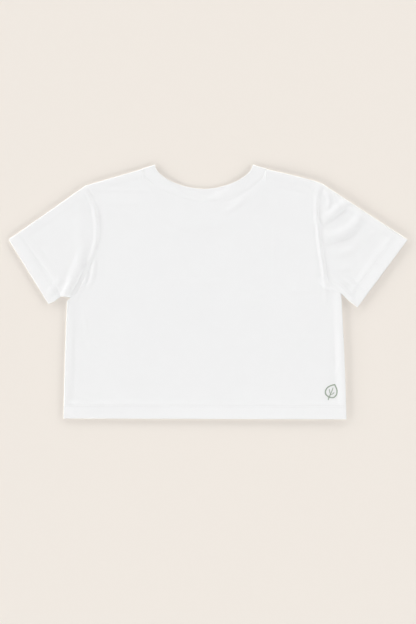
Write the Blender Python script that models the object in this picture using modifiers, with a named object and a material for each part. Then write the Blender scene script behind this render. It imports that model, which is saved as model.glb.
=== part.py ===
"""Crop top of cotton jersey, laid flat with its back upwards.

Two body panels, two sleeves and a neck rib are cut from cloth. Each is a thin wall in an object of
its own, and the pieces lie 0.3 mm apart where they are sewn together. +X runs along the hem, +Y from
the hem to the neck and +Z up from the surface that the garment lies on. The origin is on that
surface, under the middle of the garment's bounding box. Sizes are in metres.
"""

from math import cos, pi, sin

import bmesh
import bpy
from mathutils import Vector

# The garment as it lies
LENGTH = 0.4576  # highest shoulder point to hem
SPAN = 0.7180  # cuff to cuff
SHOULDER_DROP = 0.0371  # highest shoulder point down to the armhole
TOP = LENGTH / 2
HEM = -LENGTH / 2

# Cloth
JERSEY = 0.0012  # one ply of the body and sleeves
TURNED = 0.0020  # a hem, turned up once
RIB = 0.0018  # the neck rib, folded in half
GAP = 0.0003  # between two pieces at a seam, or one on the other
HEM_DEPTH = 0.025
CUFF_DEPTH = 0.0235
STEP = 0.003  # the length in which a turned hem thins out to a single ply

# Where the pieces meet, seen from above: landmark -> ((left X, Y), (right X, Y))
RIB_WIDTH = 0.0230
RIB_DROP = 0.0073  # how far the rib's outer edge starts below its folded one, at the shoulders
LANDMARKS = {
    "neck_point": ((-0.0957, TOP), (0.0798, TOP)),
    "neck_seam": ((-0.1182, TOP - RIB_DROP), (0.1041, TOP - RIB_DROP)),
    "shoulder": ((-0.2208, TOP - SHOULDER_DROP), (0.2103, TOP - SHOULDER_DROP)),
    "cuff_top": ((-SPAN / 2, 0.0947), (SPAN / 2, 0.0943)),
    "cuff_bottom": ((-0.2874, -0.0214), (0.2688, -0.0274)),
    "underarm": ((-0.2555, -0.0165), (0.2415, -0.0007)),
    "hem_corner": ((-0.2610, HEM + 0.0013), (0.2497, HEM)),
}
LEFT, RIGHT = 0, 1

# The armhole seam bows in from the straight line between shoulder and underarm.
# Share of the way down, bow of the left seam, bow of the right seam
ARMHOLE_BOW = (
    (0.00, 0.0000, 0.0000),
    (0.14, 0.0215, 0.0130),
    (0.36, 0.0350, 0.0203),
    (0.62, 0.0368, 0.0244),
    (0.90, 0.0165, 0.0262),
    (1.00, 0.0000, 0.0000),
)
SLEEVE_END = (0.970, 0.900)  # share of the seam at which each sleeve's lower fold begins

# The sleeve's lower edge bows away from the straight line between that fold's start and the cuff.
# Share of the way to the cuff, bow of the left edge in X and Y, bow of the right edge in X and Y
SLEEVE_EDGE_BOW = (
    (0.00, 0.0000, 0.0000, 0.0000, 0.0000),
    (0.25, 0.0000, 0.0050, 0.0016, 0.0016),
    (0.46, 0.0000, 0.0068, 0.0032, 0.0026),
    (0.75, 0.0000, 0.0020, 0.0000, -0.0010),
    (1.00, 0.0000, 0.0000, 0.0000, 0.0000),
)
SHOULDER_RISE = (0.0000, 0.0030)  # rise of each shoulder line, most of the way to the armhole

# Neck curves hang between their two ends as half of a superellipse: depth, exponent
BACK_EDGE = (0.0430, 1.75)
BACK_SEAM = (BACK_EDGE[0] + RIB_WIDTH - RIB_DROP, 1.65)
FRONT_EDGE = (0.0850, 2.10)
FRONT_SEAM = (FRONT_EDGE[0] + RIB_WIDTH - RIB_DROP, 2.05)

# The back lies over the front's rib, and comes down inside it and outside it
INSIDE_HOLD = 0.022  # it stays up this far past the rib's inner edge
OUTSIDE_HOLD = 0.012  # and this far past its outer edge
SETTLE = 0.014  # and comes down in this distance

# The largest folds of the upper layer, as ridges: start X, Y, end X, Y, bow to the left of that
# line, half width, height
FOLDS = {
    "left armhole": (-0.2175, 0.1790, -0.2085, 0.0640, 0.0100, 0.0070, 0.0016),
    "left armpit, sleeve side": (-0.2180, 0.0700, -0.2640, -0.0080, 0.0030, 0.0130, 0.0040),
    "left armpit, between": (-0.2110, 0.0480, -0.2380, -0.0160, 0.0020, 0.0075, 0.0028),
    "left armpit, body side": (-0.2010, 0.0400, -0.2300, -0.0500, 0.0040, 0.0140, 0.0018),
    "left shoulder": (-0.2080, 0.1790, -0.1020, 0.1830, 0.0000, 0.0080, 0.0016),
    "right armhole": (0.1977, 0.1928, 0.2103, 0.0038, -0.0070, 0.0090, 0.0020),
    "right sleeve, upper": (0.2140, 0.1360, 0.2560, 0.1690, -0.0030, 0.0100, 0.0026),
    "right sleeve, middle": (0.2120, 0.1040, 0.2860, 0.1440, -0.0060, 0.0110, 0.0030),
    "right sleeve, lower": (0.2200, 0.0740, 0.2900, 0.0860, -0.0040, 0.0110, 0.0018),
    "right underarm": (0.2400, 0.0060, 0.2720, -0.0260, 0.0000, 0.0070, 0.0030),
    "right side": (0.2370, -0.0080, 0.2440, -0.1800, 0.0000, 0.0100, 0.0018),
}
FOLD_EASE = 0.007  # folds die away over this distance from each piece's edges
FOLD_ENDS = 0.7  # below 1 a ridge keeps its height further towards its two ends

# A sleeve's lower fold
TURN = 1.5  # width of a folded edge, as a share of its half height
TURN_GROWS = 0.25  # share of the sleeve, from the seam, in which the fold reaches that width
EDGE_FADE = 4  # power with which the lower edge's bow dies away towards the upper edge
SEAM_SAMPLE = 0.01  # share of a seam on either side of a point, from which its direction is read

# Steps of the faceted surfaces. Those along a seam are shared by the pieces that meet there.
ARM_STEPS = 11
NECK_STEPS = 14
RIB_STEPS = 3
FRONT_STEPS = (3, 2)  # from the armhole to the neck, and from the hem to the underarm
BACK_STEPS = (7, 9)
SLEEVE_STEPS = ((0.0, 0.82, 10), (0.82, 0.88, 1), (0.88, 1.0, 2))  # seam to cuff, as (from, to, steps)

WHITE = (0.87, 0.87, 0.87, 1.0)
ROUGHNESS = 0.9


def point(landmark, side):
    """A landmark's place, seen from above."""
    return Vector(LANDMARKS[landmark][side])


def mix(a, b, share):
    """The value part of the way from a to b."""
    return a + (b - a) * share


def ease(share):
    """0 to 1 with a soft start and end."""
    share = min(max(share, 0.0), 1.0)
    return share * share * (3.0 - 2.0 * share)


def smooth_row(table, share, column):
    """A column of a table at a share between its rows, on a curve with no corners."""
    last = len(table) - 1
    row = next(i for i in range(last) if share <= table[i + 1][0] or i == last - 1)
    (s0, s1) = (table[row][0], table[row + 1][0])
    values = [table[min(max(i, 0), last)][column] for i in range(row - 1, row + 3)]
    shares = [table[min(max(i, 0), last)][0] for i in range(row - 1, row + 3)]
    width = s1 - s0
    slope_in = (values[2] - values[0]) / max(shares[2] - shares[0], width)
    slope_out = (values[3] - values[1]) / max(shares[3] - shares[1], width)
    t = (share - s0) / width
    return (
        (2 * t**3 - 3 * t**2 + 1) * values[1]
        + (t**3 - 2 * t**2 + t) * slope_in * width
        + (3 * t**2 - 2 * t**3) * values[2]
        + (t**3 - t**2) * slope_out * width
    )


def armhole(share, side):
    """A point of the armhole seam, from the shoulder down to the underarm."""
    on_line = mix(point("shoulder", side), point("underarm", side), share)
    bow = smooth_row(ARMHOLE_BOW, share, 1 + side)
    return on_line + Vector((bow if side == LEFT else -bow, 0.0))


def neck_curve(angle, ends, curve):
    """A point of a neck curve: angle 0 is its left end, pi its right end."""
    depth, exponent = curve
    left, right = point(ends, LEFT), point(ends, RIGHT)
    across = cos(angle)
    across = abs(across) ** (2.0 / exponent) * (1.0 if across > 0.0 else -1.0)
    down = abs(sin(angle)) ** (2.0 / exponent)
    on_line = mix(left, right, 0.5 - 0.5 * across)
    return on_line - Vector((0.0, depth * down))


def beyond_front_neck(x, y):
    """Distance of a place outwards from the front neck edge, less than 0 inside the front's hole."""
    left, right = point("neck_point", LEFT), point("neck_point", RIGHT)
    depth, exponent = FRONT_EDGE
    offset = Vector((x - (left.x + right.x) / 2.0, min(y - TOP, -1e-6)))
    reach = abs(2.0 * offset.x / (right.x - left.x)) ** exponent + abs(offset.y / depth) ** exponent
    return offset.length * (1.0 - reach ** (-1.0 / exponent))


def front_height(x, y):
    """Height of what the back lies on: the front panel, the front of the rib or the bare surface."""
    beyond = beyond_front_neck(x, y)
    inside = RIB * ease(1.0 + (beyond + INSIDE_HOLD) / SETTLE)
    outside = mix(RIB, JERSEY, ease((beyond - RIB_WIDTH - OUTSIDE_HOLD) / SETTLE))
    return min(inside, outside)


def fold_height(x, y):
    """Height that the large folds add to the upper layer."""
    height = 0.0
    for x0, y0, x1, y1, bow, half_width, rise in FOLDS.values():
        start, along = Vector((x0, y0)), Vector((x1 - x0, y1 - y0))
        from_start = Vector((x, y)) - start
        share = from_start.dot(along) / along.length_squared
        if 0.0 < share < 1.0:
            aside = along.cross(from_start) / along.length - bow * sin(pi * share)
            if abs(aside) < half_width:
                across = cos(pi * aside / half_width / 2.0) ** 2
                height = max(height, rise * sin(pi * share) ** FOLD_ENDS * across)
    return height


def spaced(*runs):
    """Values in order: each run is (first, last, number of steps), and shared ends are kept once."""
    values = [runs[0][0]]
    for first, last, steps in runs:
        values += [mix(first, last, (i + 1) / steps) for i in range(steps)]
    return values


def arm_shares(side):
    """Shares of the way down an armhole seam at which both the panels and the sleeve have a point."""
    seam = (point("shoulder", side) - point("underarm", side)).length
    turn = TURN * (JERSEY + GAP / 2.0) / seam
    return [0.0] + [mix(turn, SLEEVE_END[side] - turn, i / ARM_STEPS) for i in range(ARM_STEPS + 1)] + [
        SLEEVE_END[side]
    ]


def neck_turn(depth, exponent, inwards=1.0):
    """The angle along a neck curve at which the rib has turned over the fold at its end."""
    return (inwards * (RIB + GAP / 2.0) / depth) ** (exponent / 2.0)


def neck_angles(edge):
    """Angles along a neck curve at which both the rib and the panel have a point."""
    turned = neck_turn(*edge)
    return [0.0] + [mix(turned, pi - turned, i / NECK_STEPS) for i in range(NECK_STEPS + 1)] + [pi]


def new_material(name, colour):
    """A plain cloth finish."""
    material = bpy.data.materials.new(name)
    material.use_nodes = True
    shader = material.node_tree.nodes["Principled BSDF"]
    shader.inputs["Base Color"].default_value = colour
    shader.inputs["Roughness"].default_value = ROUGHNESS
    shader.inputs["Metallic"].default_value = 0.0
    return material


def cloth_grid(us, vs, place):
    """A grid of cloth: place(u, v) gives a point of its surface and the wall's thickness there."""
    bm = bmesh.new()
    bmesh.ops.create_grid(bm, x_segments=len(us) - 1, y_segments=len(vs) - 1, size=0.5)
    weight = bm.verts.layers.deform.verify()
    for vert in bm.verts:
        u = us[round((vert.co.x + 0.5) * (len(us) - 1))]
        v = vs[round((vert.co.y + 0.5) * (len(vs) - 1))]
        vert.co, wall = place(u, v)
        vert[weight][0] = wall / TURNED
    return bm


def cloth_object(name, bm, grows_out, collection):
    """The grid as an object, with its wall grown out of the grid, or into it."""
    bm.normal_update()
    mesh = bpy.data.meshes.new(name)
    bm.to_mesh(mesh)
    bm.free()
    mesh.materials.append(new_material(name + " cloth", WHITE))
    mesh.shade_smooth()
    piece = bpy.data.objects.new(name, mesh)
    collection.objects.link(piece)
    piece.vertex_groups.new(name="wall")
    wall = piece.modifiers.new("Wall", "SOLIDIFY")
    wall.thickness = TURNED
    wall.offset = 1.0 if grows_out else -1.0
    wall.vertex_group = "wall"
    wall.use_quality_normals = True
    return piece


def hem_wall(from_edge, depth):
    """Thickness of a wall at a distance from its turned edge."""
    return mix(TURNED, JERSEY, ease((from_edge - depth) / STEP))


def body_panel(name, edge, seam, upper, steps, collection):
    """A body panel, from the hem to the shoulders and the neck seam, between the armholes."""
    side_steps, hem_steps = steps
    shoulders = point("shoulder", LEFT), point("shoulder", RIGHT)
    seams = point("neck_seam", LEFT), point("neck_seam", RIGHT)
    width = shoulders[RIGHT].x - shoulders[LEFT].x
    neck_xs = [neck_curve(angle, "neck_seam", seam).x for angle in neck_angles(edge)]
    neck_shares = [(x - shoulders[LEFT].x) / width for x in neck_xs]

    def top(u):
        depth, exponent = seam
        if neck_shares[0] < u < neck_shares[-1]:
            across = mix(1.0, -1.0, (u - neck_shares[0]) / (neck_shares[-1] - neck_shares[0]))
            down = depth * (1.0 - abs(across) ** exponent) ** (1.0 / exponent)
            return mix(seams[LEFT], seams[RIGHT], 0.5 - across / 2.0) - Vector((0.0, down))
        side = LEFT if u < 0.5 else RIGHT
        across = min(u / neck_shares[0], (1.0 - u) / (1.0 - neck_shares[-1]))
        bulge = SHOULDER_RISE[side] * sin(pi * across**0.5)
        return mix(shoulders[side], seams[side], across) + Vector((0.0, bulge))

    def hem(u):
        return mix(point("hem_corner", LEFT), point("hem_corner", RIGHT), u)

    def chest(u):
        return mix(point("underarm", LEFT), point("underarm", RIGHT), u)

    def bow(u, v):
        """How far the armholes pull a place sideways: fully at the seam, and not at the neck."""
        pull = Vector((0.0, 0.0))
        for side, across in ((LEFT, u / neck_shares[0]), (RIGHT, (1.0 - u) / (1.0 - neck_shares[-1]))):
            straight = mix(point("shoulder", side), point("underarm", side), 1.0 - v)
            pull += (armhole(1.0 - v, side) - straight) * max(0.0, 1.0 - across)
        return pull

    side_height = point("underarm", LEFT).y - HEM
    turned, single = HEM_DEPTH / side_height, (HEM_DEPTH + STEP) / side_height
    rows = [(v, v) for v in spaced((0.0, turned, 2), (turned, single, 1), (single, 1.0, hem_steps))]
    rows += [(2.0 - a, 2.0 - b) for a, b in zip(reversed(arm_shares(LEFT)), reversed(arm_shares(RIGHT)))]

    def place(u, row):
        """A row is at 0 at the hem, 1 at the underarms and 2 at the shoulders, on the left and right."""
        v = mix(*rows[int(row)], u)
        if v <= 1.0:
            flat = mix(hem(u), chest(u), v)
        else:
            flat = mix(chest(u), top(u), v - 1.0) + bow(u, v - 1.0)
        wall = hem_wall(flat.y - hem(u).y, HEM_DEPTH)
        if not upper:
            return flat.to_3d(), wall
        below = max(wall if wall > JERSEY else 0.0, front_height(flat.x, flat.y))
        lift = fold_height(flat.x, flat.y) * ease(min(u, 1.0 - u) * width / FOLD_EASE)
        return Vector((flat.x, flat.y, below + GAP + lift)), wall

    us = spaced((0.0, neck_shares[0], side_steps))[:-1] + neck_shares
    us += spaced((neck_shares[-1], 1.0, side_steps))[1:]
    bm = cloth_grid(us, [float(i) for i in range(len(rows))], place)
    return cloth_object(name, bm, True, collection)


def flat_ring(steps, arc_steps=2):
    """Stations round a flattened tube: share across, times the turn's radius inwards, and height.

    They run over the upper ply, round the far fold, back under the lower ply and round the near
    fold to the start. The height is 1 on the upper ply and -1 on the lower.
    """
    stations = [(i / steps, 1.0 - 2.0 * i / steps, 1.0) for i in range(steps + 1)]
    turn = [pi / 2.0 - pi * i / (2 * arc_steps) for i in range(1, 2 * arc_steps)]
    stations += [(1.0, cos(angle) - 1.0, sin(angle)) for angle in turn]
    stations += [(1.0 - i / steps, 2.0 * i / steps - 1.0, -1.0) for i in range(steps + 1)]
    stations += [(0.0, 1.0 - cos(angle), -sin(angle)) for angle in turn]
    return stations + stations[:1]


def sleeve(name, side, collection):
    """A sleeve: a tube laid flat, open at the armhole and at the cuff."""
    cuff_top, cuff_bottom = point("cuff_top", side), point("cuff_bottom", side)
    end = SLEEVE_END[side]

    def seam(t):
        """The armhole seam, moved clear of the panels at right angles to itself."""
        here = armhole(t * end, side)
        before, after = max(t - SEAM_SAMPLE, 0.0), min(t + SEAM_SAMPLE, 1.0)
        along = armhole(after * end, side) - armhole(before * end, side)
        clear = Vector((along.y, -along.x)) if side == LEFT else Vector((-along.y, along.x))
        return here + clear.normalized() * GAP

    def edge_bow(s):
        columns = (1, 2) if side == LEFT else (3, 4)
        return Vector([smooth_row(SLEEVE_EDGE_BOW, s, column) for column in columns])

    stations = flat_ring(ARM_STEPS)
    seam_width = (seam(0.0) - seam(1.0)).length
    shares = [share / end for share in arm_shares(side)]

    def place(s, station):
        share, inwards, height = stations[int(station)]
        across = mix(seam_width, (cuff_top - cuff_bottom).length, s)
        length = mix((cuff_top - seam(0.0)).length, (cuff_bottom - seam(1.0)).length, share)
        wall = hem_wall((1.0 - s) * length, CUFF_DEPTH)
        radius = wall + GAP / 2.0
        t = share + inwards * mix(shares[1], TURN * radius / across, ease(s / TURN_GROWS))
        flat = mix(seam(t), mix(cuff_top, cuff_bottom, t), s) + edge_bow(s) * t**EDGE_FADE
        z = radius * (1.0 + height)
        if height > 0.0:
            from_edge = min(t * across, (1.0 - t) * across, s * length)
            z += height * fold_height(flat.x, flat.y) * ease(from_edge / FOLD_EASE)
        return Vector((flat.x, flat.y, z)), wall

    bm = cloth_grid(spaced(*SLEEVE_STEPS), [float(i) for i in range(len(stations))], place)
    bmesh.ops.remove_doubles(bm, verts=bm.verts, dist=1e-7)
    if side == RIGHT:
        bmesh.ops.reverse_faces(bm, faces=bm.faces)
    return cloth_object(name, bm, False, collection)


def neck_rib(name, collection):
    """The rib: one band round the neck, folded over at both highest shoulder points."""
    stations = flat_ring(NECK_STEPS)
    radius = RIB + GAP / 2.0

    def place(across, station):
        share, inwards, height = stations[int(station)]
        front = height < 0.0
        edge, seam = (FRONT_EDGE, FRONT_SEAM) if front else (BACK_EDGE, BACK_SEAM)
        turned = neck_turn(*edge)
        angle = mix(turned, pi - turned, share)
        if abs(height) < 1.0:
            turning = neck_turn(*edge, abs(inwards))
            angle = turning if share == 0.0 else pi - turning
        inner, outer = neck_curve(angle, "neck_point", edge), neck_curve(angle, "neck_seam", seam)
        flat = mix(inner, outer, across * (1.0 - GAP / (outer - inner).length))
        z = radius * (1.0 + height)
        if not front:
            z = radius + height * (front_height(flat.x, flat.y) + GAP + RIB - radius)
        return Vector((flat.x, flat.y, z)), RIB

    bm = cloth_grid(spaced((0.0, 1.0, RIB_STEPS)), [float(i) for i in range(len(stations))], place)
    bmesh.ops.remove_doubles(bm, verts=bm.verts, dist=1e-7)
    return cloth_object(name, bm, False, collection)


def main():
    for old in list(bpy.data.objects):
        bpy.data.objects.remove(old)
    collection = bpy.data.collections.new("Crop top")
    bpy.context.scene.collection.children.link(collection)
    body_panel("front_panel", FRONT_EDGE, FRONT_SEAM, False, FRONT_STEPS, collection)
    body_panel("back_panel", BACK_EDGE, BACK_SEAM, True, BACK_STEPS, collection)
    sleeve("sleeve_left", LEFT, collection)
    sleeve("sleeve_right", RIGHT, collection)
    neck_rib("neck_rib", collection)


main()
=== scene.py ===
"""Crop top of cotton jersey, laid flat with its back upwards on a pale floor.

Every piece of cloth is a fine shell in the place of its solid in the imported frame: two body panels,
two sleeves and a neck rib. +X runs along the hem, +Y from the hem to the neck and +Z up. Sizes are in
metres, apart from the tables of creases and of the leaf's lines, which are in millimetres.
"""

from math import acos, cos, pi, radians, sin, sqrt

import bmesh
import bpy
import numpy as np
from bpy.props import FloatProperty, FloatVectorProperty
from mathutils import Matrix, Vector
from mathutils.bvhtree import BVHTree


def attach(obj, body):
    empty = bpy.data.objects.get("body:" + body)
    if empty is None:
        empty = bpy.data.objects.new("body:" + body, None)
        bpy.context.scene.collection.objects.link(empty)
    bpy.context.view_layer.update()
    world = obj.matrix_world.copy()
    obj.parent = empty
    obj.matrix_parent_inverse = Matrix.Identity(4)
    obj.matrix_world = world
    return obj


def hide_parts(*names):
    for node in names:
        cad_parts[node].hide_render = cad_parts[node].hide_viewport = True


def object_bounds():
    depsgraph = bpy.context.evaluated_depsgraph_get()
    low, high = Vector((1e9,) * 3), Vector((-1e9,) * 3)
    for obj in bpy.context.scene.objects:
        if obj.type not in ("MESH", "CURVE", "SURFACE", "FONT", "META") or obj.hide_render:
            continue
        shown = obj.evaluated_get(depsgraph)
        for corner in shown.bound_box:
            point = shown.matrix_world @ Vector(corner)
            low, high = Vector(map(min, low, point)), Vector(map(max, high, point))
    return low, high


bl_info = {
    "name": "Crop Top",
    "version": (1, 0, 0),
    "blender": (4, 5, 0),
    "location": "View3D > Sidebar > Crop Top",
    "description": "Lays a cotton jersey crop top out on a pale floor",
    "category": "Object",
}

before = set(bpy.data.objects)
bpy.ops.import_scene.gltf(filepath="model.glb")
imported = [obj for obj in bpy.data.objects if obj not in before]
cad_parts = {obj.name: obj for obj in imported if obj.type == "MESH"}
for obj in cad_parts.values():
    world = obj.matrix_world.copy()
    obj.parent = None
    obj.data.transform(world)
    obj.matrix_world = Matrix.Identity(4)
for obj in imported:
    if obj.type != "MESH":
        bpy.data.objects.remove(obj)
CAD_LOW, CAD_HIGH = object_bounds()
BODY = "root"
MM = 0.001
TINY = 1e-6

# Outline
TOP, HEM = CAD_HIGH.y, CAD_LOW.y
SPAN = CAD_HIGH.x - CAD_LOW.x
SHOULDER_DROP = 0.0371
HEM_DEPTH = 0.025
CUFF_DEPTH = 0.0235
RIB_WIDTH = 0.0230
RIB_DROP = 0.0073  # how far the rib's outer edge starts below its folded one, at the shoulders
LEFT, RIGHT = 0, 1
LANDMARKS = {
    "neck_point": ((-0.0957, TOP), (0.0798, TOP)),
    "neck_seam": ((-0.1182, TOP - RIB_DROP), (0.1041, TOP - RIB_DROP)),
    "shoulder": ((-0.2208, TOP - SHOULDER_DROP), (0.2103, TOP - SHOULDER_DROP)),
    "cuff_top": ((-SPAN / 2, 0.0947), (SPAN / 2, 0.0943)),
    "cuff_bottom": ((-0.2874, -0.0214), (0.2688, -0.0274)),
    "underarm": ((-0.2541, -0.0165), (0.2393, -0.0007)),
    "hem_corner": ((-0.2605, HEM + 0.0013), (0.2490, HEM)),
}
# Share of the way down the armhole, bow of the left seam, bow of the right seam
ARMHOLE_BOW = (
    (0.00, 0.0000, 0.0000),
    (0.14, 0.0215, 0.0130),
    (0.36, 0.0350, 0.0203),
    (0.62, 0.0368, 0.0244),
    (0.90, 0.0165, 0.0262),
    (1.00, 0.0000, 0.0000),
)
SLEEVE_END = (0.970, 0.900)  # share of the seam at which each sleeve's lower fold begins
# Share of the way to the cuff, bow of the left lower edge in X and Y, bow of the right one in X and Y
SLEEVE_EDGE_BOW = (
    (0.00, 0.0000, 0.0000, 0.0000, 0.0000),
    (0.10, -0.0004, 0.0021, -0.0004, -0.0016),
    (0.25, -0.0010, 0.0050, -0.0004, -0.0010),
    (0.46, -0.0007, 0.0068, 0.0010, 0.0014),
    (0.75, 0.0000, 0.0020, 0.0002, -0.0003),
    (1.00, 0.0000, 0.0000, 0.0000, 0.0000),
)
EDGE_FADE = 4  # power with which the lower edge's bow dies away towards the upper edge
SEAM_SAMPLE = 0.01  # share of a seam on either side of a point, from which its direction is read
SHOULDER_RISE = (0.0000, 0.0030)  # rise of each shoulder line between its ends
SHOULDER_LEAN = 0.5  # below 1, that rise lies nearer the armhole
SIDE_BOW = (-0.0006, 0.0012)  # how far each side runs to the right of a straight line, half-way up
# Neck curves hang between their two ends as half of a superellipse: depth, exponent
BACK_EDGE = (0.0430, 1.75)
BACK_SEAM = (BACK_EDGE[0] + RIB_WIDTH - RIB_DROP, 1.65)
FRONT_EDGE = (0.0850, 2.10)
FRONT_SEAM = (FRONT_EDGE[0] + RIB_WIDTH - RIB_DROP, 2.05)

# Cloth as it shows
JERSEY = 0.0010  # one ply
TURNED = 0.0020  # a hem, turned up once
RIB = 0.0018  # the rib, folded in half
SEAM_LAP = 0.0002  # how far the edges of two pieces that are sewn together overlap
PLY_GAP = 0.0001  # between two plies at the folds and seams along the outline
HEM_STEP = 0.0120  # the length in which a turned hem thins out to a single ply
REST_TOP = 0.0027  # top of the upper ply where both plies lie flat
HEM_TOP = 0.0039  # top of a turned hem
EDGE_TOP = (0.0041, 0.0050)  # top of the rolls along the outline, on the left and on the right
EDGE_ROLL = 0.0015  # radius of those rolls
EDGE_EASE = 0.016  # distance in which a roll settles into the flat cloth
SEAM_DIP = 0.0002  # how far cloth is drawn down along a seam
SEAM_DIP_WIDTH = 0.0040
SEAM_LEAVES = 0.8  # share of a wall's thickness that is left at its very edge in a seam
EDGE_LEAVES = 0.02  # and at a round edge that shows
CORNER = 0.012  # the length of the neck seam in which the shoulder's roll dies away
CORNER_REACH = 0.030  # how far from the neck seam's end the shoulder climbs from the rib to its roll
SIDE_ROLL_START = 0.05  # share of the armhole, before the sleeve's end, in which the side's roll begins
INSIDE_HOLD = 0.022  # the back stays up this far inside the front rib's folded edge
OUTSIDE_HOLD = 0.001  # and this far outside the rib's seam
SETTLE_IN = 0.014  # and comes down in these distances
SETTLE_OUT = 0.020
LOOSE = 0.0005  # how far a trough can sink into the room between the two plies

# Steps of the fine meshes
CELL = 0.0024
ROLL_TURNS = (0.0, 0.08, 0.17, 0.33, 0.5, 0.67, 0.83, 1.0)  # quarter turns of a rolled edge
ARC_STEPS = 10  # round half a fold
RIB_STEPS = 10  # across the rib, between its rounded edges
RIB_LENGTHS = (0.28, 0.36)  # along the back and the front, for the number of steps round the neck

# Stitches
STITCH_LENGTH = 0.0026
STITCH_SPACE = 0.0006
STITCH_WIDTH = 0.00050
STITCH_HEIGHT = 0.4  # half of it, as a share of the width
NEEDLES = (-0.0016, 0.0016)  # the two rows of a twin needle, either side of their middle
STITCH_INSET = 0.0020  # the middle of the rows, in from the hem's turned edge
STITCH_DIP = 0.00035  # how far the rows draw the cloth down
STITCH_DIP_WIDTH = 0.0030
HEM_ROWS_START = 2.0 * EDGE_ROLL  # in from the sides
CUFF_ROWS_START = 3.0 * EDGE_ROLL  # in from the folds
FAR = 0.1  # how far above or below the cloth the search for its surface starts

# The embroidered leaf, in millimetres about its middle: width of each line and its places
MOTIF_PLACE = (0.2215, -0.1800)
MOTIF_TURN = -24.0  # degrees
LEAF_HEIGHT = 30.0
LEAF_LINES = {
    "left edge": (2.7, ((0, -10), (-7.6, -7.2), (-10.4, 0), (-7.4, 8), (0, 15))),
    "right edge": (2.7, ((0, -10), (7.6, -7.2), (10.4, 0), (7.4, 8), (0, 15))),
    "stem": (2.4, ((0.8, -15), (0.4, -12.5), (0, -10))),
    "midrib": (1.8, ((0, -10), (0.3, -2), (0, 8.5))),
    "left vein": (1.5, ((0.2, -3.5), (-3.0, -0.6), (-5.0, 3.4))),
    "right vein": (1.5, ((0.2, -5.5), (3.2, -2.6), (5.2, 1.4))),
}
LEAF_STEPS = 24  # between two places of a line
SATIN_PITCH = 0.00042  # from one stitch across a line to the next
SATIN_WIDTH = 0.00050
SATIN_SHIFT = 0.0002  # along the line, to and fro from stitch to stitch
SATIN_LIFT = 0.00015
SATIN_LOOK = 0.0001  # how far ahead and back a line's direction is read

# Surfaces: scales are those of noises, and tones multiply the piece's colour
SPECULAR = 0.02
SHEEN_ROUGHNESS = 0.5
CLOTH_ROUGHNESS = 0.92
CLOTH_SHEEN = 0.02
FUZZ_SCALE = 2600.0
FUZZ_ROUGHNESS = (0.10, 0.87)  # how much fuzz adds to the cloth's roughness, and to what
KNIT_BUMP = (0.30, 0.00018)  # strength, distance
KNIT_VEES, KNIT_GROOVES, KNIT_FUZZ = 0.25, 0.6, 0.5  # parts of the height
SLUB_SCALE, SLUB_TONES = 45.0, (0.990, 1.002)
PLY_AND_HIGHLIGHT_TONE = 1.012  # turned hems show less of what lies below; painted highlight on rolled edges
KNIT_PAINTED_SHADE, KNIT_PAINTED_SHADE_TONE = 0.03, 0.9  # share and tone of the painted shade in the grooves
RIB_BUMP = (0.35, 0.0003)
RIB_COURSE = 0.0007  # height of one row of the rib's stitches
RIB_COURSES, RIB_FUZZ = 0.08, 0.4
RIB_SLUB_SCALE, RIB_SLUB_TONES = 60.0, (1.000, 1.014)
# share and tone of the painted shade between the rib's ridges
RIB_PAINTED_SHADE, RIB_PAINTED_SHADE_TONE = 0.05, 0.86
THREAD_ROUGHNESS = (0.2, 0.5)  # how much patchiness adds, and to what
THREAD_BUMP = (0.25, 0.0001)
TWIST_SCALE, TWIST_DISTORTION = 900.0, 1.5
PATCH_SCALE, PATCH_TONES = 420.0, (0.88, 1.08)
SEWING_TONE, SEWING_SHEEN, SATIN_SHEEN = 0.94, 0.05, 0.3

# Floor, light and camera
FLOOR_DROP = -0.0002  # the stitches of the lower plies reach down to here
FLOOR_REACH = 15.0  # half its size
FLOOR_ROUGHNESS = 0.9
FLOOR_GRAIN, FLOOR_TONES = 30.0, (0.998, 1.002)
SUN_ANGLE = 25.0  # how broad the overhead light is, in degrees
SUN_TILT = (-9.0, -15.0)  # its turns about X and Y, in degrees
RING = (6.5, 25.0)  # lowest and highest elevation of the ring of low light, in degrees
RING_LEAN = (0.015, 0.040)  # how much lower, as a sine, those are on the side of the window
WINDOW = (-0.85, 0.53)  # the way to that side
WINDOW_SHARE = 0.16  # how much brighter it is
BACKDROP = (0.871, 0.815, 0.753)  # what the camera sees past the floor
LENS, SENSOR = 85.0, 36.0  # in millimetres
CAMERA_OVER = (-0.0003, -0.0358)  # the camera looks straight down on this place

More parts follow.
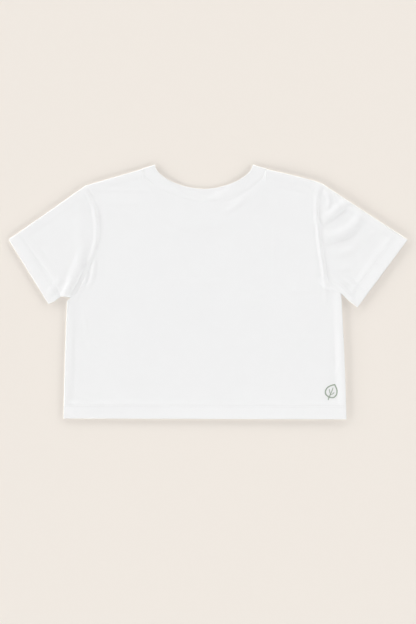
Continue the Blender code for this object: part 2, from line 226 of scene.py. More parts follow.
# Creases of the upper plies, in millimetres: half width, height (less than 0 for a trough), power
# with which it fades at its ends, and the places that it runs through
UPPER_CREASES = {
    "left armhole, upper half": (7.0, 2.4, 0.45,
        ((-221, 188), (-214, 172), (-206, 154), (-202, 130), (-201, 108), (-203, 88), (-209, 68),
         (-218, 50))),
    "left armpit, sleeve roll": (16.0, 3.4, 1.2,
        ((-220, 98), (-230, 58), (-240, 32), (-250, 10), (-259, -12))),
    "left armpit, lower roll": (10.0, 2.4, 0.7, ((-243, 28), (-252, 8), (-258, -6), (-264, -18))),
    "left armpit, between": (5.0, 0.9, 0.5,
        ((-211, 66), (-218, 42), (-221, 26), (-227, 12), (-236, -6), (-239, -18))),
    "left armpit, body roll": (6.0, 1.5, 0.8, ((-202, 62), (-206, 42), (-209, 24), (-218, 6))),
    "left armpit, below": (5.0, 1.8, 0.7, ((-254, -4), (-255, -14), (-256, -28), (-256, -44))),
    "left sleeve cap": (18.0, 1.1, 0.8, ((-226, 172), (-229, 140), (-230, 106), (-236, 76))),
    "left sleeve, low": (10.0, 1.2, 0.9, ((-266, 26), (-280, 4), (-292, -12))),
    "left shoulder, first": (6.0, 0.9, 0.6, ((-212, 184), (-170, 183), (-130, 183), (-104, 181))),
    "left shoulder, second": (8.0, 0.6, 0.8, ((-204, 159), (-170, 159), (-130, 160), (-104, 158))),
    "right armhole, body side": (6.5, 2.4, 0.45,
        ((202, 196), (197, 180), (194.5, 160), (194.5, 142), (198, 112), (201, 85), (206, 50), (210, 18),
         (212, -22))),
    "right sleeve cap": (7.0, 1.6, 0.6, ((211, 184), (217, 172), (218, 160), (213, 148))),
    "right sleeve, first": (13.0, 2.8, 0.45, ((204, 126), (222, 139), (238, 153), (256, 168))),
    "right sleeve, second": (15.0, 3.3, 0.5,
        ((204, 98), (230, 101), (251, 110), (265, 124), (277, 144))),
    "right sleeve, third": (11.0, 1.3, 0.7, ((208, 66), (232, 67), (256, 75), (276, 92))),
    "right sleeve, fourth": (10.0, 0.9, 0.8, ((218, 40), (244, 42), (268, 48))),
    "right sleeve, by the cuff": (9.0, 0.9, 0.9, ((284, 96), (302, 108), (314, 104))),
    "right underarm, first": (7.0, 1.8, 0.7, ((216, 28), (232, 16), (248, 2), (262, -16))),
    "right underarm, second": (6.0, 0.8, 0.8, ((236, 32), (254, 22), (268, 8), (282, -6))),
    "right side": (12.0, 1.3, 0.4, ((232, -12), (236, -50), (237, -104), (239, -160), (241, -200))),
    "right side, slanting": (5.0, 0.8, 0.9, ((226, -158), (233, -140), (240, -118))),
    "front rib below, right": (9.0, 1.2, 0.8, ((22, 137), (46, 153), (76, 176))),
    "right shoulder": (9.0, 0.8, 0.8, ((108, 196), (150, 190), (190, 182))),
    "left side": (4.5, 0.4, 0.5, ((-242, -50), (-245, -110), (-246, -190))),
    "left, upright": (6.0, 0.8, 0.9, ((-224, -30), (-221, -54), (-218, -80))),
    "left, slanting": (5.0, 0.8, 0.9, ((-218, -86), (-195, -104))),
    "left, slanting below": (5.0, 0.6, 0.9, ((-173, -59), (-150, -90))),
    "right of the middle": (8.0, 0.45, 0.9, ((122, 139), (119, 80), (121, 22))),
    "across the left": (7.0, 0.5, 0.9, ((-87, 21), (-20, 19), (48, 20))),
    "across the right": (6.0, 0.5, 0.9, ((129, 3), (170, 1), (205, 3))),
    "across the middle": (6.0, 0.4, 0.9, ((30, -18), (75, -13), (120, -7))),
    "left armpit, tuck": (8.0, -2.6, 0.4,
        ((-218, 56), (-223, 38), (-229, 22), (-237, 6), (-243, -8), (-248, -22))),
    "left armpit, thin tuck": (4.0, -1.0, 0.6, ((-210, 54), (-213, 38), (-216, 22), (-221, 10))),
    "left armhole, foot": (4.5, -0.6, 0.8,
        ((-207, 180), (-199, 159), (-194, 139), (-193, 106), (-196, 84))),
    "right armhole, foot": (5.0, -0.4, 0.7, ((204, 184), (204, 160), (207, 122), (210, 88), (214, 52))),
    "right sleeve, first tuck": (6.0, -1.4, 0.6,
        ((205, 114), (216, 123), (230, 133), (244, 145), (256, 156))),
    "right sleeve, second tuck": (7.0, -1.4, 0.7,
        ((212, 84), (230, 88), (250, 94), (265, 103), (277, 120))),
    "neck seam, right": (4.5, -0.5, 0.6, ((18, 157), (46, 168), (75, 184), (92, 200))),
}

# Creases of the lower plies: they dent the underside upwards, where the cloth bridges the floor
LOWER_CREASES = {
    "left armhole seam allowance": (6.0, 0.45, 0.4,
        ((-218, 180), (-208, 160), (-200, 128), (-202, 96), (-212, 60), (-226, 26))),
    "left armpit": (7.0, 0.50, 0.8, ((-204, 44), (-222, 14), (-240, -24))),
    "left sleeve, upper": (8.0, 0.40, 0.8, ((-234, 150), (-266, 128), (-296, 104))),
    "left sleeve, lower": (8.0, 0.50, 0.8, ((-232, 84), (-262, 58), (-284, 30))),
    "right armhole seam allowance": (6.0, 0.45, 0.4,
        ((206, 186), (199, 154), (200, 120), (205, 72), (212, 24))),
    "right armpit": (7.0, 0.50, 0.8, ((196, 38), (214, 8), (226, -30))),
    "right sleeve, upper": (8.0, 0.45, 0.8, ((222, 136), (252, 148), (284, 138))),
    "right sleeve, lower": (9.0, 0.50, 0.8, ((226, 78), (260, 70), (292, 84))),
    "right side": (9.0, 0.40, 0.6, ((226, -24), (230, -92), (228, -168))),
    "left side": (8.0, 0.35, 0.7, ((-236, -60), (-232, -118), (-238, -180))),
    "across the chest": (7.0, 0.30, 0.9, ((-96, 64), (-24, 52), (58, 60))),
    "across the waist": (6.0, 0.30, 0.9, ((-40, -72), (44, -84), (120, -76))),
    "below the neck": (8.0, 0.30, 0.9, ((-66, 112), (-8, 100), (50, 114))),
}


def point(landmark, side):
    """A landmark's place, seen from above."""
    return Vector(LANDMARKS[landmark][side])


def mix(a, b, share):
    """The value part of the way from a to b."""
    return a + (b - a) * share


def ease(share):
    """0 to 1 with a soft start and end."""
    share = min(max(share, 0.0), 1.0)
    return share * share * (3.0 - 2.0 * share)


def spaced(*runs):
    """Values in order: each run is (first, last, number of steps), and shared ends are kept once."""
    values = [runs[0][0]]
    for first, last, steps in runs:
        values += [mix(first, last, (i + 1) / steps) for i in range(steps)]
    return values


def smooth_row(table, share, column):
    """A column of a table at a share between its rows, on a curve with no corners."""
    last = len(table) - 1
    row = next(i for i in range(last) if share <= table[i + 1][0] or i == last - 1)
    (s0, s1) = (table[row][0], table[row + 1][0])
    values = [table[min(max(i, 0), last)][column] for i in range(row - 1, row + 3)]
    shares = [table[min(max(i, 0), last)][0] for i in range(row - 1, row + 3)]
    width = s1 - s0
    slope_in = (values[2] - values[0]) / max(shares[2] - shares[0], width)
    slope_out = (values[3] - values[1]) / max(shares[3] - shares[1], width)
    t = (share - s0) / width
    return (
        (2 * t**3 - 3 * t**2 + 1) * values[1]
        + (t**3 - 2 * t**2 + t) * slope_in * width
        + (3 * t**2 - 2 * t**3) * values[2]
        + (t**3 - t**2) * slope_out * width
    )


def armhole(share, side):
    """A point of the armhole seam, from the shoulder down to the underarm."""
    on_line = mix(point("shoulder", side), point("underarm", side), share)
    bow = smooth_row(ARMHOLE_BOW, share, 1 + side)
    return on_line + Vector((bow if side == LEFT else -bow, 0.0))


def neck_curve(angle, ends, curve):
    """A point of a neck curve: angle 0 is its left end, pi its right end."""
    depth, exponent = curve
    left, right = point(ends, LEFT), point(ends, RIGHT)
    across = cos(angle)
    across = abs(across) ** (2.0 / exponent) * (1.0 if across > 0.0 else -1.0)
    down = abs(sin(angle)) ** (2.0 / exponent)
    on_line = mix(left, right, 0.5 - 0.5 * across)
    return on_line - Vector((0.0, depth * down))


def beyond_front_neck(x, y):
    """Distance of a place outwards from the front neck edge, less than 0 inside the front's hole."""
    left, right = point("neck_point", LEFT), point("neck_point", RIGHT)
    depth, exponent = FRONT_EDGE
    offset = Vector((x - (left.x + right.x) / 2.0, min(y - TOP, -TINY)))
    reach = abs(2.0 * offset.x / (right.x - left.x)) ** exponent + abs(offset.y / depth) ** exponent
    return offset.length * (1.0 - reach ** (-1.0 / exponent))


def front_height(x, y):
    """Height of what the back lies on: the front panel, the front of the rib or the bare surface."""
    beyond = beyond_front_neck(x, y)
    inside = RIB * ease(1.0 + (beyond + INSIDE_HOLD) / SETTLE_IN)
    outside = mix(RIB, JERSEY, ease((beyond - RIB_WIDTH - OUTSIDE_HOLD) / SETTLE_OUT))
    return min(inside, outside)


def turned_share(from_edge, depth):
    """1 on a turned hem and 0 past it."""
    return 1.0 - ease((from_edge - depth) / HEM_STEP)


def roll_share(from_edge):
    """1 on the roll along a folded or seamed edge and 0 on the flat cloth."""
    return 1.0 - ease((from_edge - 2.0 * EDGE_ROLL) / EDGE_EASE)


def stitch_dip(from_edge, depth):
    """How far the twin row of stitches draws the cloth down."""
    aside = abs(from_edge - depth + STITCH_INSET) / STITCH_DIP_WIDTH
    return STITCH_DIP * (cos(pi * aside / 2.0) ** 2 if aside < 1.0 else 0.0)


def seam_dip(from_seam):
    """How far a seam draws the cloth beside it down."""
    return SEAM_DIP * (1.0 - ease(from_seam / SEAM_DIP_WIDTH))


def either(first, second):
    """Two shares from 0 to 1, joined smoothly: 1 where either of them is 1."""
    return 1.0 - (1.0 - first) * (1.0 - second)


def rounded(wall, from_edge, leaves=EDGE_LEAVES):
    """Thickness of a wall with a round edge, which leaves a share of it at the edge."""
    short = 1.0 - min(from_edge / (wall / 2.0), 1.0)
    return wall * mix(leaves, 1.0, sqrt(1.0 - short * short))


def quarter(from_edge):
    """Angle round a rolled edge, from 0 at its outermost line to a quarter turn on its crest."""
    return acos(1.0 - min(from_edge / EDGE_ROLL, 1.0))


def smooth_path(places, steps=8):
    """A curve through places, as an array of points."""
    places = np.array(places, float)
    padded = np.vstack([2 * places[0] - places[1], places, 2 * places[-1] - places[-2]])
    t = np.linspace(0.0, 1.0, steps, endpoint=False)[:, None]
    runs = []
    for a, b, c, d in zip(padded, padded[1:], padded[2:], padded[3:]):
        square, cube = 2 * a - 5 * b + 4 * c - d, 3 * b - a - 3 * c + d
        runs.append(0.5 * (2 * b + (c - a) * t + square * t**2 + cube * t**3))
    return np.vstack(runs + [places[-1:]])


def crease_heights(flat, creases):
    """Height that a table of creases adds at each place of an array."""
    total = np.zeros(len(flat))
    for half_width, height, fade, places in creases.values():
        line = smooth_path(places) * MM
        reach = half_width * MM
        in_reach = (flat > line.min(0) - reach) & (flat < line.max(0) + reach)
        near = np.nonzero(np.all(in_reach, axis=1))[0]
        if not len(near):
            continue
        start, along = line[:-1], np.diff(line, axis=0)
        run = np.linalg.norm(along, axis=1)
        before = np.concatenate([[0.0], np.cumsum(run)])
        to_place = flat[near][:, None, :] - start[None]
        share = np.clip((to_place * along).sum(2) / run**2, 0.0, 1.0)
        distance = np.linalg.norm(to_place - share[..., None] * along, axis=2)
        nearest = distance.argmin(1)
        rows = np.arange(len(near))
        aside = np.minimum(distance[rows, nearest] / reach, 1.0)
        down = (before[nearest] + share[rows, nearest] * run[nearest]) / before[-1]
        ends = np.sin(pi * np.clip(down, 0.0, 1.0)).clip(0.0) ** fade
        total[near] += height * MM * ends * np.cos(pi / 2.0 * aside) ** 2
    return total


def cloth_grid(us, vs, place):
    """A grid of cloth.

    place(u, v) gives a point of the wall's middle, the wall's thickness, how far the cloth lies in two
    plies there (which also carries a painted highlight along the rolled edges and folds), its place on the
    cloth, and how much the creases lift it: above 0 for those of the upper plies, and below 0 for those
    of the lower ones.
    """
    bm = bmesh.new()
    bmesh.ops.create_grid(bm, x_segments=len(us) - 1, y_segments=len(vs) - 1, size=0.5)
    weight = bm.verts.layers.deform.verify()
    doubled_and_painted_highlight = bm.verts.layers.float.new("doubled_and_painted_highlight")
    uv_layer = bm.loops.layers.uv.new("cloth")
    on_cloth, lifts, flat = {}, [], []
    for vert in bm.verts:
        u = us[round((vert.co.x + 0.5) * (len(us) - 1))]
        v = vs[round((vert.co.y + 0.5) * (len(vs) - 1))]
        vert.co, wall, vert[doubled_and_painted_highlight], on_cloth[vert], lift = place(u, v)
        vert[weight][0] = wall / TURNED
        flat.append(vert.co[:2])
        lifts.append(lift)
    flat, lifts = np.array(flat), np.array(lifts)
    heights = crease_heights(flat, UPPER_CREASES).clip(-LOOSE) * lifts.clip(0.0, 1.0)
    heights += crease_heights(flat, LOWER_CREASES) * -lifts.clip(-1.0, 0.0)
    for vert, height in zip(bm.verts, heights):
        vert.co.z += height
    for face in bm.faces:
        for loop in face.loops:
            loop[uv_layer].uv = on_cloth[loop.vert]
    return bm


def new_object(name, bm, material):
    """The mesh as an object with one material."""
    mesh = bpy.data.meshes.new(name)
    bm.normal_update()
    bm.to_mesh(mesh)
    bm.free()
    mesh.materials.append(material)
    mesh.shade_smooth()
    made = bpy.data.objects.new(name, mesh)
    bpy.context.scene.collection.objects.link(made)
    return made


def cloth_object(name, bm, material):
    """The grid as a piece of cloth, in the place of the solid of that name."""
    piece = new_object(name + "_cloth", bm, material)
    piece.vertex_groups.new(name="wall")
    wall = piece.modifiers.new("Wall", "SOLIDIFY")
    wall.thickness = TURNED
    wall.offset = 0.0
    wall.vertex_group = "wall"
    wall.use_quality_normals = True
    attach(piece, BODY)
    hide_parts(name)
    return piece


def rolled_steps(size, inwards_last):
    """Shares from an edge inwards, that crowd together on its roll."""
    rim = [EDGE_ROLL * (1.0 - cos(turn * pi / 2.0)) / size for turn in ROLL_TURNS]
    steps = round((inwards_last - rim[-1]) * size / CELL)
    return rim + spaced((rim[-1], inwards_last, steps))[1:]


def body_panel(name, seam, upper, material):
    """A body panel, from the hem to the shoulders and the neck seam, between the armholes."""
    shoulders = point("shoulder", LEFT), point("shoulder", RIGHT)
    seams = point("neck_seam", LEFT), point("neck_seam", RIGHT)
    width = shoulders[RIGHT].x - shoulders[LEFT].x
    neck_shares = [(seams[side].x - shoulders[LEFT].x) / width for side in (LEFT, RIGHT)]

    def top(u):
        """The upper edge: a shoulder line, the neck seam and the other shoulder line."""
        depth, exponent = seam
        if neck_shares[LEFT] < u < neck_shares[RIGHT]:
            across = mix(1.0, -1.0, (u - neck_shares[LEFT]) / (neck_shares[RIGHT] - neck_shares[LEFT]))
            down = depth * (1.0 - abs(across) ** exponent) ** (1.0 / exponent)
            return mix(seams[LEFT], seams[RIGHT], 0.5 - across / 2.0) - Vector((0.0, down))
        side = LEFT if u < 0.5 else RIGHT
        across = min(u / neck_shares[LEFT], (1.0 - u) / (1.0 - neck_shares[RIGHT]))
        bulge = SHOULDER_RISE[side] * sin(pi * across**SHOULDER_LEAN)
        return mix(shoulders[side], seams[side], across) + Vector((0.0, bulge))

    def hem(u):
        return mix(point("hem_corner", LEFT), point("hem_corner", RIGHT), u)

    def chest(u):
        return mix(point("underarm", LEFT), point("underarm", RIGHT), u)

    def bow(u, v):
        """How far the armholes' curves draw a place aside."""
        pull = Vector((0.0, 0.0))
        for side in (LEFT, RIGHT):
            across = u / neck_shares[LEFT] if side == LEFT else (1.0 - u) / (1.0 - neck_shares[RIGHT])
            straight = mix(point("shoulder", side), point("underarm", side), 1.0 - v)
            pull += (armhole(1.0 - v, side) - straight) * max(0.0, 1.0 - across)
        return pull

    def place(u, row):
        """A place of the panel: row 0 is the hem, 1 the line between the underarms and 2 the top."""
        side = LEFT if u < 0.5 else RIGHT
        if row <= 1.0:
            flat = mix(hem(u), chest(u), row)
            flat.x += mix(SIDE_BOW[LEFT], SIDE_BOW[RIGHT], u) * sin(pi * row)
            wide = mix((hem(1.0) - hem(0.0)).length, (chest(1.0) - chest(0.0)).length, row)
        else:
            flat = mix(chest(u), top(u), row - 1.0) + bow(u, row - 1.0)
            wide = mix((chest(1.0) - chest(0.0)).length, width, row - 1.0)
        from_hem = flat.y - hem(u).y
        from_side = min(u, 1.0 - u) * wide
        from_top = max(2.0 - row, 0.0) * (top(u) - chest(u)).length
        armhole_share = 2.0 - row
        at_neck = neck_shares[LEFT] < u < neck_shares[RIGHT]
        side_roll = ease(1.0 + (armhole_share - SLEEVE_END[side]) / SIDE_ROLL_START)
        top_roll = 1.0 - ease((top(u) - seams[side]).length / CORNER) if at_neck else 1.0
        turned = turned_share(from_hem, HEM_DEPTH)
        wall = mix(JERSEY, TURNED, turned)
        rolled = either(side_roll * roll_share(from_side), top_roll * roll_share(from_top))
        # lighter colour: real on the turned hem, and a painted highlight on the rolled edges
        doubled_and_painted_highlight = either(turned, rolled)
        # the distance round the cloth to its nearest edge rounds the edge off
        round_side = mix(from_side, EDGE_ROLL * quarter(from_side), side_roll)
        round_top = mix(from_top, EDGE_ROLL * quarter(from_top), top_roll)
        nearest = min(round_side, round_top)
        thick = rounded(wall, from_hem)
        if nearest < JERSEY / 2.0:
            thick = min(thick, wall * rounded(JERSEY, nearest, SEAM_LEAVES) / JERSEY)
        rise = min(
            mix(1.0, sin(quarter(from_side)), side_roll),
            mix(1.0, sin(quarter(from_top)), top_roll),
        )
        inset = side_roll * (wall / 2.0) * (1.0 - min(from_side / EDGE_ROLL, 1.0))
        flat.x += inset if side == LEFT else -inset
        flat.y -= top_roll * (wall / 2.0) * (1.0 - min(from_top / EDGE_ROLL, 1.0))
        edge_top = mix(EDGE_TOP[LEFT], EDGE_TOP[RIGHT], ease(u))
        from_corner = (flat - seams[side]).length / CORNER_REACH
        edge_top = mix(2.0 * RIB + PLY_GAP, edge_top, ease(from_corner))
        seamed = edge_top / 2.0
        if upper:
            crest = max(rolled, roll_share(from_hem))
            top_here = mix(mix(REST_TOP, HEM_TOP, turned), edge_top, crest)
            z = top_here + front_height(flat.x, flat.y) - JERSEY - wall / 2.0
            z -= stitch_dip(from_hem, HEM_DEPTH)
            z -= seam_dip(from_side) * (1.0 - side_roll) + seam_dip(from_top) * (1.0 - top_roll)
            z = mix(seamed + PLY_GAP / 2.0, z, rise)
            lift = rise
        else:
            z = wall / 2.0 + stitch_dip(from_hem, HEM_DEPTH)
            z = mix(seamed - PLY_GAP / 2.0, z, rise)
            lift = -rise
        return Vector((flat.x, flat.y, z)), thick, doubled_and_painted_highlight, (flat.x, flat.y), lift

    half = rolled_steps(width, neck_shares[LEFT])
    neck_width = (neck_shares[RIGHT] - neck_shares[LEFT]) * width
    neck_steps = round(neck_width / CELL)
    angles = [pi * i / neck_steps for i in range(neck_steps + 1)]
    neck = [(neck_curve(angle, "neck_seam", seam).x - shoulders[LEFT].x) / width for angle in angles]
    other = [1.0 - share for share in reversed(rolled_steps(width, 1.0 - neck_shares[RIGHT]))]
    us = half + neck[1:-1] + other
    side_height = point("underarm", LEFT).y - HEM
    arm_height = shoulders[LEFT].y - point("underarm", LEFT).y
    below = rolled_steps(side_height, 1.0)
    above = [2.0 - share for share in reversed(rolled_steps(arm_height, 1.0))]
    return cloth_object(name, cloth_grid(us, below + above[1:], place), material)


def flat_ring(size, lower_size):
    """Stations round a flattened tube: share across, times the roll's width inwards, and height.

    They run over the upper ply, round the far fold, back under the lower ply and round the near
    fold to the start. The height is 1 on the upper ply and -1 on the lower.
    """
    steps, lower_steps = round(size / CELL), round(lower_size / CELL)
    stations = [(i / steps, 1.0 - 2.0 * i / steps, 1.0) for i in range(steps + 1)]
    turn = [pi / 2.0 - pi * i / ARC_STEPS for i in range(1, ARC_STEPS)]
    stations += [(1.0, cos(angle) - 1.0, sin(angle)) for angle in turn]
    back = [i / lower_steps for i in range(lower_steps + 1)]
    stations += [(1.0 - share, 2.0 * share - 1.0, -1.0) for share in back]
    stations += [(0.0, 1.0 - cos(angle), -sin(angle)) for angle in turn]
    return stations + stations[:1]


def tube_object(name, us, stations, place, material):
    """A piece of cloth that closes round itself along its stations."""
    bm = cloth_grid(us, [float(i) for i in range(len(stations))], place)
    bmesh.ops.remove_doubles(bm, verts=bm.verts, dist=TINY)
    bmesh.ops.recalc_face_normals(bm, faces=bm.faces)
    return cloth_object(name, bm, material)


def sleeve(name, side, material):
    """A sleeve: a tube laid flat, open at the armhole and at the cuff."""
    cuff_top, cuff_bottom = point("cuff_top", side), point("cuff_bottom", side)
    end = SLEEVE_END[side]

    def seam(t):
        """The armhole seam, moved over the panels' edges at right angles to itself."""
        here = armhole(t * end, side)
        before, after = max(t - SEAM_SAMPLE, 0.0), min(t + SEAM_SAMPLE, 1.0)
        along = armhole(after * end, side) - armhole(before * end, side)
        over = Vector((-along.y, along.x)) if side == LEFT else Vector((along.y, -along.x))
        return here + over.normalized() * SEAM_LAP

    def edge_bow(s):
        """How far the lower edge is drawn aside."""
        columns = (1, 2) if side == LEFT else (3, 4)
        return Vector([smooth_row(SLEEVE_EDGE_BOW, s, column) for column in columns])

    seam_width = (seam(0.0) - seam(1.0)).length
    stations = flat_ring(seam_width, seam_width)
    top_length = (cuff_top - seam(0.0)).length
    bottom_length = (cuff_bottom - seam(1.0)).length

    def place(s, station):
        """A place of the sleeve: s is 0 at the seam and 1 at the cuff."""
        share, inwards, height = stations[int(station)]
        across = mix(seam_width, (cuff_top - cuff_bottom).length, s)
        length = mix(top_length, bottom_length, share)
        from_cuff, from_seam = (1.0 - s) * length, s * length
        turned = turned_share(from_cuff, CUFF_DEPTH)
        wall = mix(JERSEY, TURNED, turned)
        t = share + inwards * EDGE_ROLL / across
        if abs(height) < 1.0:
            inset = (wall / 2.0) / across * (1.0 - min(abs(inwards), 1.0))
            t += inset if share < 0.5 else -inset
        from_fold = min(t, 1.0 - t) * across
        rolled = roll_share(from_fold)
        # lighter colour: real on the turned cuff, and a painted highlight along the folds
        doubled_and_painted_highlight = either(turned, rolled)
        flat = mix(seam(t), mix(cuff_top, cuff_bottom, t), s) + edge_bow(s) * t**EDGE_FADE
        upper = mix(mix(REST_TOP, HEM_TOP, turned), EDGE_TOP[side], max(rolled, roll_share(from_cuff)))
        upper += front_height(flat.x, flat.y) - JERSEY - wall / 2.0
        lower = wall / 2.0
        if height > 0.0:
            upper -= stitch_dip(from_cuff, CUFF_DEPTH) + seam_dip(from_seam)
        else:
            lower += stitch_dip(from_cuff, CUFF_DEPTH)
        z = mix(lower, upper, 0.5 + height / 2.0)
        thick = min(rounded(wall, from_cuff), wall * rounded(JERSEY, from_seam, SEAM_LEAVES) / JERSEY)
        return Vector((flat.x, flat.y, z)), thick, doubled_and_painted_highlight, (t * across, s * top_length), height

    along = [EDGE_ROLL * (1.0 - cos(turn * pi / 2.0)) / top_length for turn in ROLL_TURNS]
    rows = along + spaced((along[-1], 1.0 - along[-1], round(top_length / CELL)))[1:-1]
    rows += [1.0 - share for share in reversed(along)]
    return tube_object(name, rows, stations, place, material)


def neck_rib(name, material):
    """The rib: one band round the neck, folded over at both highest shoulder points."""
    stations = flat_ring(*RIB_LENGTHS)
    middle = RIB + PLY_GAP / 2.0

    def neck_turn(depth, exponent, inwards=1.0):
        """The angle along a neck curve at which the rib has turned over the fold at its end."""
        return (inwards * middle / depth) ** (exponent / 2.0)

    def place(across, station):
        """A place of the rib: across is 0 at the folded edge and 1 at the seam."""
        share, inwards, height = stations[int(station)]
        front = height < 0.0
        edge, seam = (FRONT_EDGE, FRONT_SEAM) if front else (BACK_EDGE, BACK_SEAM)
        turned = neck_turn(*edge)
        angle = mix(turned, pi - turned, share)
        if abs(height) < 1.0:
            turning = neck_turn(*edge, abs(inwards))
            angle = turning if share == 0.0 else pi - turning
        inner, outer = neck_curve(angle, "neck_point", edge), neck_curve(angle, "neck_seam", seam)
        wide = (outer - inner).length
        flat = mix(inner, outer, across * (1.0 + SEAM_LAP / wide))
        thick = min(rounded(RIB, across * wide), rounded(RIB, (1.0 - across) * wide, SEAM_LEAVES))
        if front:
            z = mix(middle, RIB / 2.0, -height)
        else:
            dip = seam_dip((1.0 - across) * wide)
            z = mix(middle, front_height(flat.x, flat.y) + PLY_GAP + RIB / 2.0 - dip, height)
        return Vector((flat.x, flat.y, z)), thick, 1.0, (inner.x, across * wide), height

    rim = [RIB / 2.0 * (1.0 - cos(turn * pi / 2.0)) / RIB_WIDTH for turn in ROLL_TURNS]
    across = rim + spaced((rim[-1], 1.0 - rim[-1], RIB_STEPS))[1:-1]
    across += [1.0 - share for share in reversed(rim)]
    return tube_object(name, across, stations, place, material)


def add_node(material, kind, **settings):
    made = material.node_tree.nodes.new(kind)
    for setting, value in settings.items():
        setattr(made, setting, value)
    return made


def feed(material, socket, value):
    """Link an output to a socket, or set the socket's own value."""
    if isinstance(value, bpy.types.NodeSocket):
        material.node_tree.links.new(value, socket)
    else:
        socket.default_value = value


def maths(material, operation, *values):
    made = add_node(material, "ShaderNodeMath", operation=operation)
    for socket, value in zip(made.inputs, values):
        feed(material, socket, value)
    return made.outputs["Value"]


def noise(material, vector, scale, detail=3.0):
    made = add_node(material, "ShaderNodeTexNoise")
    feed(material, made.inputs["Vector"], vector)
    feed(material, made.inputs["Scale"], scale)
    feed(material, made.inputs["Detail"], detail)
    return made.outputs["Fac"]


def blended(material, share, first, second):
    """A colour between two others."""
    made = add_node(material, "ShaderNodeMix", data_type="RGBA")
    feed(material, made.inputs["Factor"], share)
    feed(material, made.inputs["A"], first)
    feed(material, made.inputs["B"], second)
    return made.outputs["Result"]


def colour(rgb, level=1.0):
    return (rgb[0] * level, rgb[1] * level, rgb[2] * level, 1.0)


def new_material(name, roughness, sheen):
    material = bpy.data.materials.new(name)
    material.use_nodes = True
    shader = material.node_tree.nodes["Principled BSDF"]
    shader.inputs["Roughness"].default_value = roughness
    shader.inputs["Sheen Weight"].default_value = sheen
    shader.inputs["Sheen Roughness"].default_value = SHEEN_ROUGHNESS
    shader.inputs["Specular IOR Level"].default_value = SPECULAR
    return material, shader


def bump(material, shader, height, strength, distance):
    made = add_node(material, "ShaderNodeBump")
    feed(material, made.inputs["Height"], height)
    feed(material, made.inputs["Strength"], strength)
    feed(material, made.inputs["Distance"], distance)
    feed(material, shader.inputs["Normal"], made.outputs["Normal"])


def cloth_coordinates(material):
    """Place across and along the cloth, in metres."""
    uv = add_node(material, "ShaderNodeUVMap", uv_map="cloth")
    parts = add_node(material, "ShaderNodeSeparateXYZ")
    feed(material, parts.inputs["Vector"], uv.outputs["UV"])
    return uv.outputs["UV"], parts.outputs["X"], parts.outputs["Y"]


def finish_cloth(material, shader, fuzz, plain, groove, painted_shade_tone):
    """Colour the grooves of a knit with painted shade, and roughen it by its fuzz."""
    feed(material, shader.inputs["Base Color"], blended(material, groove, plain, painted_shade_tone))
    feed(material, shader.inputs["Roughness"], maths(material, "MULTIPLY_ADD", fuzz, *FUZZ_ROUGHNESS))
    return material


def jersey_material(name, base, wale, course):
    """Plain knit: columns of small V stitches, a little fuzz, lighter where it lies in two plies,
    and a painted highlight along its rolled edges and folds.
    """
    material, shader = new_material(name, CLOTH_ROUGHNESS, CLOTH_SHEEN)
    uv, across, along = cloth_coordinates(material)
    column = maths(material, "PINGPONG", maths(material, "DIVIDE", across, wale), 0.5)
    phase = maths(material, "ADD", maths(material, "DIVIDE", along, course), column)
    vees = maths(material, "SINE", maths(material, "MULTIPLY", phase, 2.0 * pi))
    groove = maths(material, "SMOOTH_MIN", maths(material, "MULTIPLY", column, 4.0), 1.0, 0.3)
    fuzz = noise(material, uv, FUZZ_SCALE)
    height = maths(material, "MULTIPLY", groove, KNIT_GROOVES)
    height = maths(material, "MULTIPLY_ADD", vees, KNIT_VEES, height)
    height = maths(material, "MULTIPLY_ADD", fuzz, KNIT_FUZZ, height)
    bump(material, shader, height, *KNIT_BUMP)
    slubs = noise(material, uv, SLUB_SCALE, 4.0)
    # lighter where two plies lie, and a painted highlight along the rolled edges and folds
    doubled_and_painted_highlight = add_node(material, "ShaderNodeAttribute", attribute_name="doubled_and_painted_highlight").outputs["Fac"]
    plain = blended(material, slubs, *(colour(base, tone) for tone in SLUB_TONES))
    ply_tone_and_painted_highlight = blended(material, doubled_and_painted_highlight, plain, colour(base, PLY_AND_HIGHLIGHT_TONE))
    # painted shade: the grooves between the wales are coloured darker
    shade = maths(material, "MULTIPLY_ADD", groove, -KNIT_PAINTED_SHADE, KNIT_PAINTED_SHADE)
    return finish_cloth(material, shader, fuzz, ply_tone_and_painted_highlight, shade, colour(base, KNIT_PAINTED_SHADE_TONE))


def rib_material(name, base, rib):
    """One-by-one rib: round ridges across the band with narrow grooves between."""
    material, shader = new_material(name, CLOTH_ROUGHNESS, CLOTH_SHEEN)
    uv, along, across = cloth_coordinates(material)
    column = maths(material, "PINGPONG", maths(material, "DIVIDE", along, rib), 0.5)
    ridge = maths(material, "SINE", maths(material, "MULTIPLY", column, pi))
    courses = maths(material, "SINE", maths(material, "MULTIPLY", across, 2.0 * pi / RIB_COURSE))
    fuzz = noise(material, uv, FUZZ_SCALE)
    height = maths(material, "MULTIPLY_ADD", courses, RIB_COURSES, ridge)
    height = maths(material, "MULTIPLY_ADD", fuzz, RIB_FUZZ, height)
    bump(material, shader, height, *RIB_BUMP)
    # painted shade: the grooves between the rib's ridges are coloured darker
    shade = maths(material, "MULTIPLY_ADD", ridge, -RIB_PAINTED_SHADE, RIB_PAINTED_SHADE)
    slubs = noise(material, uv, RIB_SLUB_SCALE)
    plain = blended(material, slubs, *(colour(base, tone) for tone in RIB_SLUB_TONES))
    return finish_cloth(material, shader, fuzz, plain, shade, colour(base, RIB_PAINTED_SHADE_TONE))


